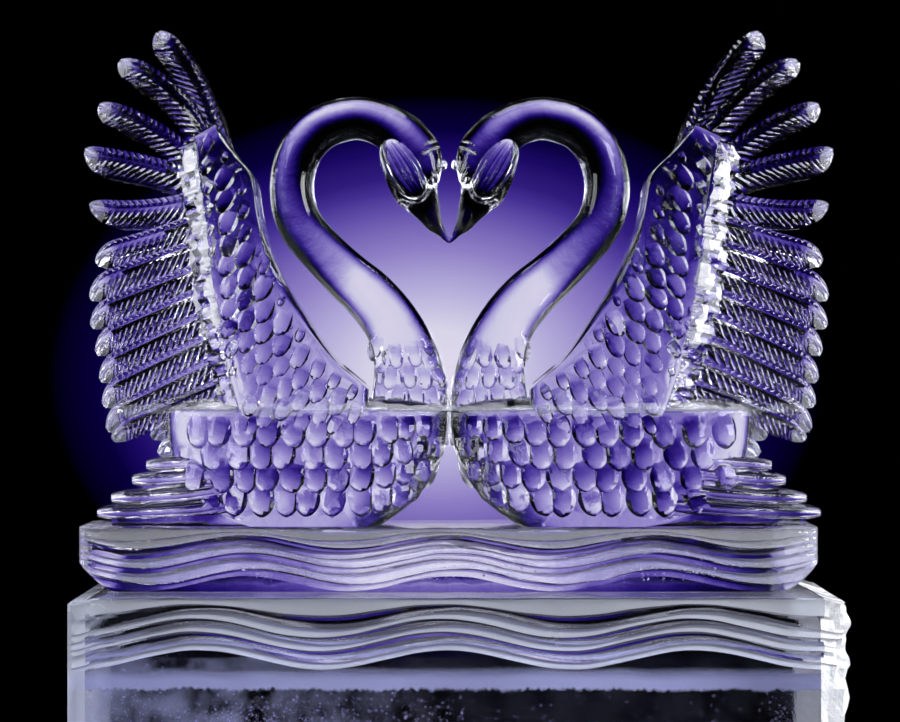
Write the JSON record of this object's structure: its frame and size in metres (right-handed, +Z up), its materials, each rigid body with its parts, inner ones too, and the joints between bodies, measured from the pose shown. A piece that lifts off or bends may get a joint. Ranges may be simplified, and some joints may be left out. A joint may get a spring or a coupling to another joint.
{
  "type": "ice swan sculpture",
  "caption": "Clear ice carving of swans facing each other with raised wings, necks making a heart, on a wave-cut ice plinth.",
  "frame": {"origin": "middle of the plinth's underside", "axes": "+X along the pair of swans, +Z up, the carved front faces -Y"},
  "size_m": [1.016, 0.508, 1.0049],
  "materials": {
    "clear_ice": "clear ice, carved, wet and glossy, frosted in the cuts",
    "plinth_ice": "clear block ice, with frosted wave cuts and a broken white end"
  },
  "bodies": {
    "root": {"plinth": "plinth_ice", "lower_slab": "clear_ice", "upper_slab": "clear_ice"}
  },
  "joints": []
}
